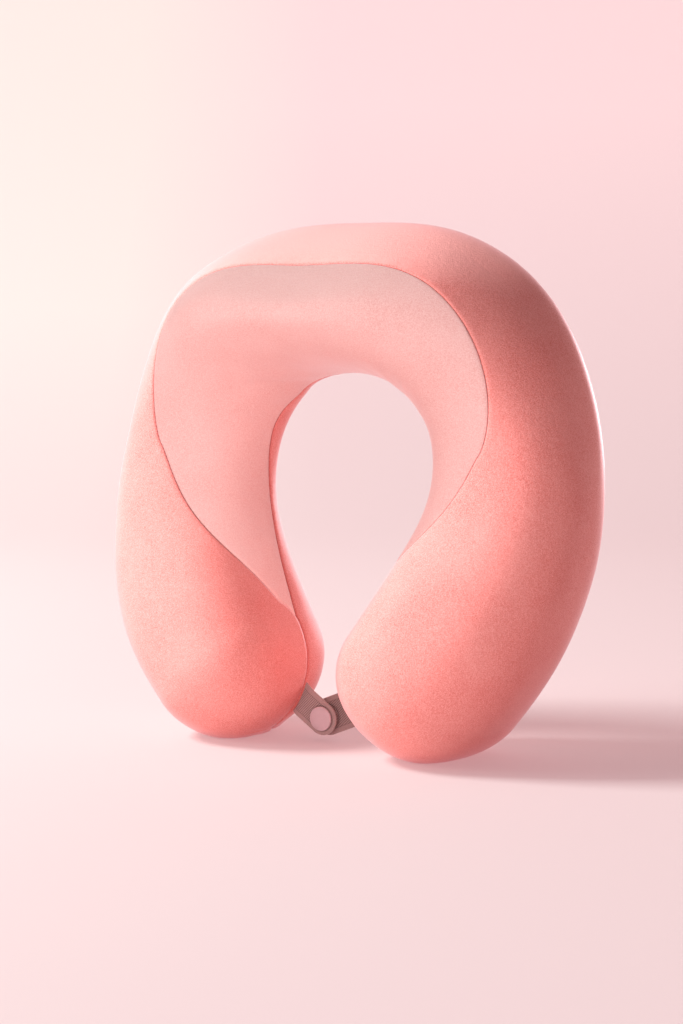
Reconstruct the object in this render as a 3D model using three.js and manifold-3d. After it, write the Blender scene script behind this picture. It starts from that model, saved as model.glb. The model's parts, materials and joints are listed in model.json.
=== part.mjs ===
// U-shaped memory-foam travel pillow, standing on the tips of its two arms.
// Millimetres. +X is to the right, +Z is up and the front faces -Y. The origin
// is on the floor under the middle of the pillow.
//
// One half is lofted along a spine from the nape, u = 0, to the tip of the arm,
// u = TIP, and closed by a round cap up to u = TIP + 1. The angle round a section
// is 0 on the outside of the U, 90 at the front, 180 on the neck side and 270 at
// the back. Each layer is the same surface set further in.

import * as THREE from 'three';
import { mergeVertices } from 'three/addons/utils/BufferGeometryUtils.js';
import Module from 'manifold-3d';

const wasm = await Module();
wasm.setup();

// ---------------------------------------------------------------- driving sizes

// Control stations of one half, evenly spaced along the spine: place of the spine,
// half width across the arm, thickness from front to back, share of the width lost
// at the front, sideways lean of the front, and the angles of the two seams.
const STATIONS = [
  [0, 244.5, 49.5, 112, 0.77, -17.5, 23, 197.5],
  [64, 241, 57.5, 102, 0.53, 1, 28.5, 209],
  [100.5, 193, 51, 65.5, 0.36, -1.5, 70, 180],
  [109, 128.5, 44.5, 76.5, 0, -2, 114.5, 198],
  [89.5, 77, 49.5, 102.5, 0.03, -1, 166, 191.5],
  [64.5, 42.5, 45, 105.5, 0, -7.5, 184, 184],
].map(([x, z, halfWidth, thickness, taper, lean, frontSeam, backSeam]) => (
  { x, z, halfWidth, thickness, taper, lean, frontSeam, backSeam }
));
const TIP = STATIONS.length - 1;
const CAP_LENGTH = 45;
const FRONT_POWER = 2.4; // superellipse power of the front half of a section
const BACK_POWER = 3; // the back is flatter
const OUTER_SEAM = -45; // angle of the seam that runs round the outside
const BACK_Y = 52; // plane of the flat back
const HALF_GAP = 0.15; // each half stops this far from the middle plane

const COVER = 1.2; // thickness of the outer cloth
const LINER_INSET = 1.7; // depth of the inner liner below the cover's surface
const LINER = 0.8;
const FOAM_INSET = 3;
const SEAM_GAP = 0.3;

const ROWS_PER_STATION = 3;
const LAST_ROW = 4.97; // where the inset panel runs out to its point
const CAP_ROWS = [0.25, 0.5, 0.72, 0.88];
const PANEL_END = 0.985; // the cover panels meet round a small thread hole here
const OUTER_COLUMNS = 10;
const INSET_COLUMNS = 7;
const BACK_COLUMNS = 5;

const LEFT_WIDTH = 19; // webbing
const RIGHT_WIDTH = 21;
const STRAP = 1.4;
const STRAP_Y = 4.8; // front face of the left strap
const SNAP = { x: -10, z: 12.8 }; // centre of the press snap
const LEFT_REACH = 15.5; // from the left strap's fold to the snap
const LEFT_DROP = 33.8; // degrees below level
const RIGHT_REACH = 34;
const RIGHT_DROP = 22.5;
const POST_HOLE = 2.2;
const POST = 1.8;
const CAP_RADIUS = 6.9;
const CAP_THICK = 1.5;
const SOCKET_RADIUS = 5.2;
const SOCKET_THICK = 2;
const SOCKET_BORE = 2.4;
const STUD_RADIUS = 1.9;
const STUD_LENGTH = 1.6;
const STUD_BASE = 0.8;
const FIT = 0.3; // clearance between pieces that touch on the real pillow

const ZIP_CENTRE_Z = 133; // the zip follows a circle about this height
const ZIP_RADIUS = 108;
const ZIP_FROM = 101; // degrees, counted from +X up, seen from the front
const ZIP_TO = 212;
const SLOT_HALF = 6;
const TAPE = { near: 1.9, far: 5.7, low: -0.2, high: 0.4 };
const COIL = { near: 0.5, far: 1.6, low: -0.6, high: 1 };
const STOP_DEGREES = 1;
const SLIDER_AT = 206;
const SLIDER = { half: 4.5, width: 6.4, low: -1.4, floor: -0.9, roof: 1.3, high: 2.2 };
const CROWN = { half: 3, width: 1.6, eye: 1.2, eyeTop: 3.8, top: 4.6 };
const PULL = { bar: 1, width: 6.4, window: 3.7, gap: 3.2, length: 23, low: 2.5 };

// ---------------------------------------------------------------- materials

function cloth(colour, roughness) {
  return new THREE.MeshStandardMaterial({ color: colour, roughness, metalness: 0 });
}

const coral = () => cloth(0xee9189, 0.95);
const palePink = () => cloth(0xf9c3bc, 0.95);
const cream = () => cloth(0xf3e7d2, 1);
const linerWhite = () => cloth(0xf4efec, 1);
const webbing = () => cloth(0x9a7672, 0.9);
const zipTape = () => cloth(0xd98a84, 0.95);
const snapPlastic = () => cloth(0xc9a2a6, 0.45);
const zipPlastic = () => cloth(0xcf8780, 0.5);
const zipMetal = () => new THREE.MeshStandardMaterial({ color: 0xb98f8c, roughness: 0.35, metalness: 0.6 });

// ---------------------------------------------------------------- section formula

const radians = THREE.MathUtils.degToRad;

// A control value, mirrored through the nape and carried on straight past the tip.
function control(name, k) {
  if (k < 0) {
    return (name === 'x' ? -1 : 1) * STATIONS[-k][name];
  }
  if (k > TIP) {
    return 2 * STATIONS[TIP][name] - STATIONS[2 * TIP - k][name];
  }
  return STATIONS[k][name];
}

// Uniform cubic B-spline through the stations' control values.
function along(name, u, slope = false) {
  const place = Math.min(u, TIP);
  const k = Math.min(Math.floor(place), TIP - 1);
  const t = place - k;
  const [a, b, c, d] = [-1, 0, 1, 2].map((step) => control(name, k + step));
  if (slope) {
    const early = -a * 3 * (1 - t) ** 2 + b * (9 * t * t - 12 * t);
    const late = c * (3 + 6 * t - 9 * t * t) + d * 3 * t * t;
    return (early + late) / 6;
  }
  const early = a * (1 - t) ** 3 + b * (3 * t ** 3 - 6 * t * t + 4);
  const late = c * (1 + 3 * t + 3 * t * t - 3 * t ** 3) + d * t ** 3;
  return (early + late) / 6;
}

function signedPower(value, power) {
  return Math.sign(value) * Math.abs(value) ** power;
}

// Point of the right half's surface, set in by inset millimetres.
function surfacePoint(u, angle, inset) {
  const cap = Math.max(u - TIP, 0) * Math.PI / 2;
  const shrink = Math.cos(cap);
  const slope = new THREE.Vector2(along('x', u, true), along('z', u, true)).normalize();
  const reach = (CAP_LENGTH - inset) * Math.sin(cap);
  const power = 2 / (Math.sin(radians(angle)) < 0 ? BACK_POWER : FRONT_POWER);
  const across = signedPower(Math.cos(radians(angle)), power);
  const forward = signedPower(Math.sin(radians(angle)), power);
  const front = (1 + forward) / 2;
  const halfWidth = along('halfWidth', u) - inset;
  const halfThick = along('thickness', u) / 2;
  const lean = along('lean', u) * (front - 0.5);
  const side = shrink * (halfWidth * across * (1 - along('taper', u) * front) + lean);
  const x = along('x', u) + slope.x * reach - slope.y * side;
  const y = BACK_Y - halfThick - shrink * (halfThick - inset) * forward;
  const z = along('z', u) + slope.y * reach + slope.x * side;
  return new THREE.Vector3(Math.max(x, HALF_GAP), y, Math.max(z, inset));
}

// Angle step that moves a point by half the seam gap along the section.
function seamStep(u, angle) {
  const speed = surfacePoint(u, angle + 0.5, 0).distanceTo(surfacePoint(u, angle - 0.5, 0));
  return SEAM_GAP / 2 / Math.max(speed, 0.05);
}

// ---------------------------------------------------------------- grids of points

function spread(from, to, steps) {
  return Array.from({ length: steps + 1 }, (_, k) => from + (to - from) * k / steps);
}

function seams(u) {
  const back = along('backSeam', u);
  return { outer: OUTER_SEAM, front: u < TIP ? Math.min(along('frontSeam', u), back) : back, back };
}

const bodyRows = spread(0, TIP, TIP * ROWS_PER_STATION).slice(0, -1);
const allRows = [...bodyRows, LAST_ROW, TIP, ...CAP_ROWS.map((t) => TIP + t)];

// Angles of the columns of each cover panel at one row.
const panelColumns = {
  outer: (u) => spread(seams(u).outer, seams(u).front, OUTER_COLUMNS),
  inset: (u) => spread(seams(u).front, seams(u).back, INSET_COLUMNS),
  back: (u) => spread(seams(u).back, seams(u).outer + 360, BACK_COLUMNS),
};

function ringColumns(u) {
  const panels = [panelColumns.outer(u), panelColumns.inset(u), panelColumns.back(u)];
  return panels.flatMap((angles) => angles.slice(0, -1));
}

// Two triangles for each cell; facing is -1 for the inside of a cloth, which is
// split along the same diagonals so that the layers stay parallel.
function pushQuads(triangles, rows, facing = 1) {
  for (let i = 0; i + 1 < rows.length; i += 1) {
    for (let j = 0; j + 1 < rows[i].length; j += 1) {
      const [a, b, c, d] = [rows[i][j], rows[i + 1][j], rows[i + 1][j + 1], rows[i][j + 1]];
      if (facing > 0) {
        triangles.push([a, b, c], [a, c, d]);
      } else {
        triangles.push([a, c, b], [a, d, c]);
      }
    }
  }
}

// Triangles to an indexed geometry with shared vertices and outward faces,
// mirrored to the left half when side is -1.
function closedGeometry(triangles, side) {
  const positions = triangles.flat().flatMap((p) => [p.x * side, p.y, p.z]);
  const raw = new THREE.BufferGeometry();
  raw.setAttribute('position', new THREE.Float32BufferAttribute(positions, 3));
  const merged = mergeVertices(raw, 1e-3);
  const index = Array.from(merged.index.array);
  const faces = [];
  for (let k = 0; k < index.length; k += 3) {
    const [a, b, c] = index.slice(k, k + 3);
    if (a !== b && b !== c && c !== a) {
      faces.push([a, b, c]);
    }
  }
  const corner = (i) => new THREE.Vector3().fromBufferAttribute(merged.attributes.position, i);
  const signed = ([a, b, c]) => corner(a).dot(corner(b).cross(corner(c)));
  const volume = faces.reduce((sum, face) => sum + signed(face), 0);
  merged.setIndex(faces.flatMap(([a, b, c]) => (volume > 0 ? [a, b, c] : [a, c, b])));
  return merged;
}

// A full ring of points per row, closed round the arm and by the tip's pole.
function ringRows(inset) {
  const rows = [...allRows, TIP + 1].map((u) => ringColumns(u).map((angle) => surfacePoint(u, angle, inset)));
  return rows.map((row) => [...row, row[0]]);
}

// Everything inside the surface at one inset, with a flat face at the nape.
function solidHalf(inset, side) {
  const triangles = [];
  const rows = ringRows(inset);
  pushQuads(triangles, rows);
  const nape = rows[0];
  const centre = nape.reduce((sum, p) => sum.add(p), new THREE.Vector3()).divideScalar(nape.length);
  for (let j = 0; j + 1 < nape.length; j += 1) {
    triangles.push([centre, nape[j], nape[j + 1]]);
  }
  return closedGeometry(triangles, side);
}

// A sock of cloth between two insets, open at the nape.
function sockHalf(inset, thick, side) {
  const triangles = [];
  const outside = ringRows(inset);
  const inside = ringRows(inset + thick);
  pushQuads(triangles, outside);
  pushQuads(triangles, inside, -1);
  pushQuads(triangles, [inside[0], outside[0]]);
  return closedGeometry(triangles, side);
}

// One cover panel: the cloth between two seams, with a rim all round.
function coverPanel(name, side) {
  const ends = name === 'inset' ? [] : [TIP + PANEL_END];
  const rows = name === 'inset' ? allRows.filter((u) => u < TIP) : [...allRows, ...ends];
  const grid = (inset) => rows.map((u) => {
    const angles = panelColumns[name](u);
    angles[0] += seamStep(u, angles[0]);
    angles[angles.length - 1] -= seamStep(u, angles[angles.length - 1]);
    return angles.map((angle) => surfacePoint(u, angle, inset));
  });
  const outside = grid(0);
  const inside = grid(COVER);
  const triangles = [];
  pushQuads(triangles, outside);
  pushQuads(triangles, inside, -1);
  const last = outside.length - 1;
  pushQuads(triangles, [inside[0], outside[0]]);
  pushQuads(triangles, [outside[last], inside[last]]);
  pushQuads(triangles, [outside.map((row) => row[0]), inside.map((row) => row[0])]);
  pushQuads(triangles, [inside.map((row) => row.at(-1)), outside.map((row) => row.at(-1))]);
  return closedGeometry(triangles, side);
}

// ---------------------------------------------------------------- solids

function toManifold(geometry) {
  const bare = geometry.clone();
  bare.deleteAttribute('normal');
  bare.deleteAttribute('uv');
  const merged = mergeVertices(bare, 1e-3);
  return new wasm.Manifold(new wasm.Mesh({
    numProp: 3,
    vertProperties: new Float32Array(merged.attributes.position.array),
    triVerts: new Uint32Array(merged.index.array),
  }));
}

function fromManifold(solid) {
  const mesh = solid.getMesh();
  const geometry = new THREE.BufferGeometry();
  geometry.setAttribute('position', new THREE.BufferAttribute(mesh.vertProperties, 3));
  geometry.setIndex(new THREE.BufferAttribute(mesh.triVerts, 1));
  return geometry;
}

// An outline drawn in X and Z, given its depth along Y.
function plate(outline, lowY, highY, segments = 12) {
  const geometry = new THREE.ExtrudeGeometry(outline, {
    depth: highY - lowY, bevelEnabled: false, curveSegments: segments,
  });
  return geometry.rotateX(Math.PI / 2).translate(0, highY, 0);
}

// A round piece on the snap's axis from a profile of [radius, y] points.
function turned(profile) {
  const points = profile.map(([radius, y]) => new THREE.Vector2(radius, y));
  return new THREE.LatheGeometry(points, 24).translate(SNAP.x, 0, SNAP.z);
}

// A band of the zip's circle, from near to far of its radius.
function zipBand(near, far, low, high, from, to) {
  const outline = new THREE.Shape();
  outline.absarc(0, ZIP_CENTRE_Z, ZIP_RADIUS + far, radians(from), radians(to), false);
  outline.absarc(0, ZIP_CENTRE_Z, ZIP_RADIUS + near, radians(to), radians(from), true);
  return plate(outline, BACK_Y + low, BACK_Y + high, Math.max(2, Math.round((to - from) / 4)));
}

// A block on the slider: along its travel, across it, and above the back.
function sliderBlock(alongFrom, alongTo, acrossFrom, acrossTo, low, high) {
  const block = new THREE.BoxGeometry(acrossTo - acrossFrom, high - low, alongTo - alongFrom);
  const middle = [acrossFrom + acrossTo, low + high, alongFrom + alongTo].map((sum) => sum / 2);
  block.translate(middle[0] + ZIP_RADIUS, middle[1] + BACK_Y, -middle[2]);
  return toManifold(block.rotateY(-radians(SLIDER_AT)).translate(0, 0, ZIP_CENTRE_Z));
}

function joined(blocks) {
  return fromManifold(blocks.reduce((sum, block) => sum.add(block)));
}

// ---------------------------------------------------------------- sub-parts

const group = new THREE.Group();

function addPart(name, geometry, material) {
  const bare = geometry.clone();
  bare.deleteAttribute('normal');
  bare.deleteAttribute('uv');
  const merged = mergeVertices(bare, 1e-3);
  merged.computeVertexNormals();
  const mesh = new THREE.Mesh(merged, material);
  mesh.name = name;
  group.add(mesh);
}

// Foam core, inner liner and the three cover panels of each half.
function addHalf(label, side) {
  addPart(`foam_core_${label}`, solidHalf(FOAM_INSET, side), cream());
  addPart(`liner_${label}`, sockHalf(LINER_INSET, LINER, side), linerWhite());
  addPart(`outer_panel_${label}`, coverPanel('outer', side), coral());
  addPart(`inset_panel_${label}`, coverPanel('inset', side), palePink());
  let back = coverPanel('back', side);
  if (side < 0) {
    const slot = zipBand(-SLOT_HALF, SLOT_HALF, -2 * COVER, COVER, ZIP_FROM - 0.3, ZIP_TO + 0.3);
    back = fromManifold(toManifold(back).subtract(toManifold(slot)));
  }
  addPart(`back_panel_${label}`, back, coral());
}

// Zip in the back of the left half: two tapes, two coils and the end stops.
function addZip() {
  for (const [label, way] of [['inner', -1], ['outer', 1]]) {
    const band = (piece, from, to) => {
      const edges = [way * piece.near, way * piece.far].sort((a, b) => a - b);
      return zipBand(edges[0], edges[1], piece.low, piece.high, from, to);
    };
    const coilFrom = ZIP_FROM + 2 * STOP_DEGREES;
    addPart(`zip_tape_${label}`, band(TAPE, ZIP_FROM, ZIP_TO), zipTape());
    addPart(`zip_coil_${label}`, band(COIL, coilFrom, ZIP_TO - 2 * STOP_DEGREES), zipPlastic());
  }
  const stop = (from) => zipBand(-COIL.far, COIL.far, COIL.low, COIL.high, from, from + STOP_DEGREES * 0.8);
  addPart('zip_top_stop', stop(ZIP_FROM + STOP_DEGREES), zipMetal());
  addPart('zip_bottom_stop', stop(ZIP_TO - 1.8 * STOP_DEGREES), zipMetal());
}

// Slider: two plates joined between the coils, with an arched crown on top.
function addSlider() {
  const { half, width, low, floor, roof, high } = SLIDER;
  const wing = width / 2;
  const bridge = COIL.near - 0.2;
  const rib = CROWN.width / 2;
  addPart('zip_slider', joined([
    sliderBlock(-half, half, -wing, wing, low, floor),
    sliderBlock(-half, half, -wing, wing, roof, high),
    sliderBlock(-1, 1, -bridge, bridge, low, high),
    sliderBlock(-CROWN.half, -CROWN.eye, -rib, rib, roof, CROWN.top),
    sliderBlock(CROWN.eye, CROWN.half, -rib, rib, roof, CROWN.top),
    sliderBlock(-CROWN.half, CROWN.half, -rib, rib, CROWN.eyeTop, CROWN.top),
  ]), zipMetal());
}

// Pull: a tab whose cross bar turns in the slider's crown, hanging down.
function addPull() {
  const { bar, width, window, gap, length, low } = PULL;
  const high = low + bar;
  addPart('zip_pull', joined([
    sliderBlock(-bar / 2, bar / 2, -width / 2, width / 2, low, high),
    sliderBlock(-length, bar / 2, -width / 2, -gap / 2, low, high),
    sliderBlock(-length, bar / 2, gap / 2, width / 2, low, high),
    sliderBlock(-length, -window, -width / 2, width / 2, low, high),
  ]), zipMetal());
}

// Webbing tab: straight from its fold, with a round end about the snap.
function strap(reach, width, angle, lowY) {
  const half = width / 2;
  const outline = new THREE.Shape();
  outline.moveTo(-reach, -half);
  outline.lineTo(0, -half);
  outline.absarc(0, 0, half, -Math.PI / 2, Math.PI / 2, false);
  outline.lineTo(-reach, half);
  const hole = new THREE.Path();
  hole.absarc(0, 0, POST_HOLE, 0, 2 * Math.PI, true);
  outline.holes.push(hole);
  const flat = plate(outline, lowY, lowY + STRAP, 14);
  return flat.rotateY(-radians(angle)).translate(SNAP.x, 0, SNAP.z);
}

function addTabs() {
  const rightY = STRAP_Y + STRAP + FIT + SOCKET_THICK + FIT + STUD_LENGTH + STUD_BASE + FIT;
  addPart('strap_left', strap(LEFT_REACH, LEFT_WIDTH, -LEFT_DROP, STRAP_Y), webbing());
  addPart('strap_right', strap(RIGHT_REACH, RIGHT_WIDTH, 180 + RIGHT_DROP, rightY), webbing());

  const capBack = STRAP_Y - FIT;
  addPart('snap_cap', turned([
    [0, capBack - CAP_THICK],
    [CAP_RADIUS - 1.6, capBack - CAP_THICK + 0.1],
    [CAP_RADIUS - 0.4, capBack - CAP_THICK + 0.5],
    [CAP_RADIUS, capBack - 0.5],
    [CAP_RADIUS - 0.2, capBack],
    [POST, capBack],
    [POST, STRAP_Y + STRAP + FIT + 0.4],
    [0, STRAP_Y + STRAP + FIT + 0.4],
  ]), snapPlastic());

  const socketFront = STRAP_Y + STRAP + FIT;
  addPart('snap_socket', turned([
    [SOCKET_BORE, socketFront],
    [SOCKET_RADIUS, socketFront],
    [SOCKET_RADIUS, socketFront + SOCKET_THICK - 0.6],
    [SOCKET_RADIUS - 0.8, socketFront + SOCKET_THICK],
    [SOCKET_BORE, socketFront + SOCKET_THICK],
    [SOCKET_BORE, socketFront],
  ]), snapPlastic());

  const studTip = socketFront + SOCKET_THICK + FIT;
  addPart('snap_stud', turned([
    [0, studTip],
    [STUD_RADIUS - 0.3, studTip],
    [STUD_RADIUS, studTip + 0.4],
    [STUD_RADIUS, studTip + STUD_LENGTH],
    [SOCKET_RADIUS - 0.4, studTip + STUD_LENGTH],
    [SOCKET_RADIUS, studTip + STUD_LENGTH + 0.3],
    [SOCKET_RADIUS, studTip + STUD_LENGTH + STUD_BASE],
    [0, studTip + STUD_LENGTH + STUD_BASE],
  ]), snapPlastic());

  const postCap = rightY + STRAP + FIT;
  addPart('snap_post_cap', turned([
    [0, rightY],
    [POST, rightY],
    [POST, postCap],
    [CAP_RADIUS - 0.2, postCap],
    [CAP_RADIUS, postCap + 0.5],
    [CAP_RADIUS - 0.4, postCap + CAP_THICK - 0.5],
    [CAP_RADIUS - 1.6, postCap + CAP_THICK - 0.1],
    [0, postCap + CAP_THICK],
  ]), snapPlastic());
}

addHalf('left', -1);
addHalf('right', 1);
addZip();
addSlider();
addPull();
addTabs();

export default group;
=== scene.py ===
import json
import math

import bpy
import numpy as np
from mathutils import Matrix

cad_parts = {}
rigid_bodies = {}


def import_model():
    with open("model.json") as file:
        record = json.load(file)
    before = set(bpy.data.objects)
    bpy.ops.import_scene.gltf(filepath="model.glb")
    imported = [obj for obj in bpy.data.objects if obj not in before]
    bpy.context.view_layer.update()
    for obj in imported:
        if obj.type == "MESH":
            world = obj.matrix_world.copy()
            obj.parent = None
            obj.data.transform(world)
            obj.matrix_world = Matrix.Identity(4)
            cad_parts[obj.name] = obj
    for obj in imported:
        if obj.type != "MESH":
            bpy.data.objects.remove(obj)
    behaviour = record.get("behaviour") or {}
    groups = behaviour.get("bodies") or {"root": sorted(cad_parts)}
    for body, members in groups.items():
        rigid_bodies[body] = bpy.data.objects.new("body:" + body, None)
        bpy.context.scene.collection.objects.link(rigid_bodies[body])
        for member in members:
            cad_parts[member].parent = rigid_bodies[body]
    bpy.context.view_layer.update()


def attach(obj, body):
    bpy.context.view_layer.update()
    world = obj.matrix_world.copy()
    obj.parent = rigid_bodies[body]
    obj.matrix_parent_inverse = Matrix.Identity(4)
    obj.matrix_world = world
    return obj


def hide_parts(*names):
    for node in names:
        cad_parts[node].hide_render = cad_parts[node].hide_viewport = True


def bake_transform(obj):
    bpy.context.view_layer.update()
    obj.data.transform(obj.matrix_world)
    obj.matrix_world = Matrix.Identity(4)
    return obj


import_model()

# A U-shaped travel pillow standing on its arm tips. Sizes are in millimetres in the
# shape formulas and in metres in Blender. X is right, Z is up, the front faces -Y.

MM = 0.001

# ---------------------------------------------------------------- driving sizes

# The pillow's control stations from the nape to the arm's tip, as the CAD has them.
STATIONS = {
    "x": [0, 64, 100.5, 109, 89.5, 64.5],
    "z": [244.5, 241, 193, 128.5, 77, 42.5],
    "half_width": [49.5, 57.5, 51, 44.5, 49.5, 45],
    "thickness": [112, 102, 65.5, 76.5, 102.5, 105.5],
    "taper": [0.77, 0.53, 0.36, 0, 0.03, 0],
    "lean": [-17.5, 1, -1.5, -2, -1, -7.5],
    "front_seam": [23, 28.5, 70, 114.5, 166, 184],
    "back_seam": [197.5, 209, 180, 198, 191.5, 184],
}
TIP = 5
CAP_LENGTH = 45
FRONT_POWER = 2.4
BACK_POWER = 3
OUTER_SEAM = -45
BACK_Y = 52

COVER = 1.2        # thickness of the velour
LINER_INSET = 1.6
LINER = 0.7
FOAM_INSET = 3
GROOVE = 1.1       # depth of a seam's crease
GROOVE_WIDTH = 0.75
SEAM_GAP = 0.12

BILLOW_STEP = 5     # degrees between the columns of the cover when it is inflated
BILLOW_ROWS = 4     # mesh rows to one row of the inflated cover
BILLOW_INSET = 0.8  # how much smaller it starts, and the furthest that a point may sink
BILLOW_CAP = 1.2    # the furthest that a point may rise
BILLOW_FRAMES = 20
SEAM_HELD, SEAM_FREE = 3, 7      # distances from a seam where the cloth is held, and free again
ZIP_HELD, ZIP_FREE = 10, 16      # the same from the zip's line

ROW_STEP = 1.9     # length of a mesh row along the arm
EDGE_STEPS = [0, 0.25, 0.6, 1.1, 1.8, 2.8, 4.2]
INSET_END = 4.985  # where the inset panel runs out to its point

ZIP_CENTRE_Z = 133
ZIP_RADIUS = 108
ZIP_FROM, ZIP_TO = 101, 212
SLIDER_AT = 206
SLOT_HALF = 5.4

STRAP = 1.3        # thickness of the webbing
SNAP_X, SNAP_Z = -10, 12.8
CAP_RADIUS = 6.9
HEM = 3.0          # width of a strap's plain hem
STRAP_EDGE = 0.5   # rounding of a strap's edge
RIB_PITCH, YARN_PITCH = 1.15, 1.5
STRAP_ROOT = 6.5   # how far a strap runs on into its seam
SNAP_HOLE = 2.2    # radius of a strap's hole for the snap's post


# ---------------------------------------------------------------- mesh helpers

def mesh_object(name, vertices, faces, smooth=True):
    """A new object from vertices in millimetres."""
    mesh = bpy.data.meshes.new(name)
    mesh.from_pydata((np.asarray(vertices) * MM).tolist(), [], [list(map(int, f)) for f in faces])
    mesh.validate()
    mesh.polygons.foreach_set("use_smooth", [smooth] * len(mesh.polygons))
    piece = bpy.data.objects.new(name, mesh)
    bpy.context.scene.collection.objects.link(piece)
    return piece


def tidy(piece, weld=1e-6):
    """Welds coincident vertices and turns the faces outward."""
    import bmesh
    work = bmesh.new()
    work.from_mesh(piece.data)
    bmesh.ops.remove_doubles(work, verts=work.verts, dist=weld)
    bmesh.ops.dissolve_degenerate(work, edges=work.edges, dist=1e-8)
    bmesh.ops.recalc_face_normals(work, faces=work.faces)
    work.to_mesh(piece.data)
    work.free()
    return piece


def apply_modifiers(piece):
    """Bakes the modifiers into the mesh."""
    graph = bpy.context.evaluated_depsgraph_get()
    baked = bpy.data.meshes.new_from_object(piece.evaluated_get(graph))
    piece.modifiers.clear()
    old = piece.data
    piece.data = baked
    bpy.data.meshes.remove(old)
    return piece


def grid_faces(rows, columns, start=0, wrap=False, flip=False):
    """Quads of a grid of vertices numbered row by row."""
    i, j = np.meshgrid(np.arange(rows - 1), np.arange(columns if wrap else columns - 1), indexing="ij")
    after = (j + 1) % columns
    quads = np.stack([i * columns + j, (i + 1) * columns + j,
                      (i + 1) * columns + after, i * columns + after], -1).reshape(-1, 4) + start
    return quads[:, ::-1] if flip else quads


def strip_faces(first, second):
    """Quads between two lists of vertex numbers of one length."""
    first, second = np.asarray(first), np.asarray(second)
    return np.stack([first[:-1], first[1:], second[1:], second[:-1]], -1)


def set_attribute(piece, name, values):
    """A number for each vertex, which materials read."""
    layer = piece.data.attributes.new(name, "FLOAT", "POINT")
    layer.data.foreach_set("value", np.asarray(values, np.float32))


# ---------------------------------------------------------------- pillow surface

def along(name, u, slope=False):
    """Uniform cubic B-spline through the stations, mirrored through the nape."""
    values = np.array(STATIONS[name], float)
    before = -values[1] if name == "x" else values[1]
    after = 2 * values[-1] - values[-2]
    controls = np.concatenate([[before], values, [after]])
    place = np.clip(u, 0, TIP)
    k = np.minimum(np.floor(place).astype(int), TIP - 1)
    t = place - k
    a, b, c, d = (controls[k + step] for step in range(4))
    if slope:
        return (-a * 3 * (1 - t) ** 2 + b * (9 * t * t - 12 * t)
                + c * (3 + 6 * t - 9 * t * t) + d * 3 * t * t) / 6
    return (a * (1 - t) ** 3 + b * (3 * t ** 3 - 6 * t * t + 4)
            + c * (1 + 3 * t + 3 * t * t - 3 * t ** 3) + d * t ** 3) / 6


def signed_power(value, power):
    """A power that keeps the sign."""
    return np.sign(value) * np.abs(value) ** power


def surface(u, angle, inset=0.0):
    """Point of the pillow's skin for arrays of u (negative on the left) and angle in degrees."""
    side = np.where(u < 0, -1.0, 1.0)
    u = np.abs(u)
    cap = np.clip(u - TIP, 0, 1) * math.pi / 2
    shrink = np.cos(cap)
    slope_x, slope_z = along("x", u, True), along("z", u, True)
    length = np.hypot(slope_x, slope_z)
    slope_x, slope_z = slope_x / length, slope_z / length
    reach = (CAP_LENGTH - inset) * np.sin(cap)
    turn = np.radians(angle)
    power = 2 / np.where(np.sin(turn) < 0, BACK_POWER, FRONT_POWER)
    across = signed_power(np.cos(turn), power)
    forward = signed_power(np.sin(turn), power)
    front = (1 + forward) / 2
    half_thick = along("thickness", u) / 2
    out = shrink * ((along("half_width", u) - inset) * across * (1 - along("taper", u) * front)
                    + along("lean", u) * (front - 0.5))
    x = along("x", u) + slope_x * reach - slope_z * out
    y = BACK_Y - half_thick - shrink * (half_thick - inset) * forward
    z = along("z", u) + slope_z * reach + slope_x * out
    return np.stack([side * x, y, z], -1)


def outward(u, angle):
    """Unit direction from the inside of the pillow to its skin."""
    step = surface(u, angle, 0.0) - surface(u, angle, 2.0)
    return step / np.maximum(np.linalg.norm(step, axis=-1, keepdims=True), 1e-9)


def row_places():
    """u of every mesh row of the right half, evenly spaced along the arm, the nape first."""
    fine = np.linspace(0, TIP, 2001)
    steps = np.hypot(np.diff(along("x", fine)), np.diff(along("z", fine)))
    length = np.concatenate([[0], np.cumsum(steps)])
    body = np.interp(np.linspace(0, length[-1], int(length[-1] / ROW_STEP)), length, fine)
    cap_count = int(CAP_LENGTH * math.pi / 2 / ROW_STEP)
    return body, TIP + np.linspace(0, 1, cap_count + 1)[1:]


BODY_ROWS, CAP_ROWS = row_places()


def both_sides(half):
    """Rows of the right half mirrored to run from the left tip to the right tip."""
    return np.concatenate([-half[:0:-1], half])


ALL_ROWS = both_sides(np.concatenate([BODY_ROWS, CAP_ROWS]))
INSET_ROWS = both_sides(np.append(BODY_ROWS[BODY_ROWS < INSET_END - 0.01], INSET_END))


def seam_angles(panel, u):
    """Angles where a panel starts and ends at each row."""
    u = np.abs(u)
    back = along("back_seam", u)
    front = np.where(u < TIP, np.minimum(along("front_seam", u), back), back)
    outer = np.full_like(back, OUTER_SEAM)
    return {"outer": (outer, front), "inset": (front, back), "back": (back, outer + 360)}[panel]


def panel_columns(panel, rows, edges, middle):
    """Angles and distances from the nearest seam of a panel's grid, close together at its seams."""
    first, last = seam_angles(panel, rows)
    share = np.linspace(0, 1, 241)
    fine = first[:, None] + (last - first)[:, None] * share
    points = surface(rows[:, None] + 0 * fine, fine)
    steps = np.linalg.norm(np.diff(points, axis=1), axis=-1)
    length = np.concatenate([np.zeros((len(rows), 1)), np.cumsum(steps, 1)], 1)
    total = length[:, -1]
    near = np.array(edges, float)[None] * np.minimum(1, total / (4 * max(edges)))[:, None]
    near = near + np.minimum(SEAM_GAP / 2, total * 0.02)[:, None]
    inner = near[:, -1:] + (total[:, None] - 2 * near[:, -1:]) * np.linspace(0, 1, middle + 2)[None, 1:-1]
    place = np.concatenate([near, inner, total[:, None] - near[:, ::-1]], 1)
    angles = np.stack([np.interp(place[i], length[i], fine[i]) for i in range(len(rows))])
    return angles, np.minimum(place, total[:, None] - place)


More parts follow.
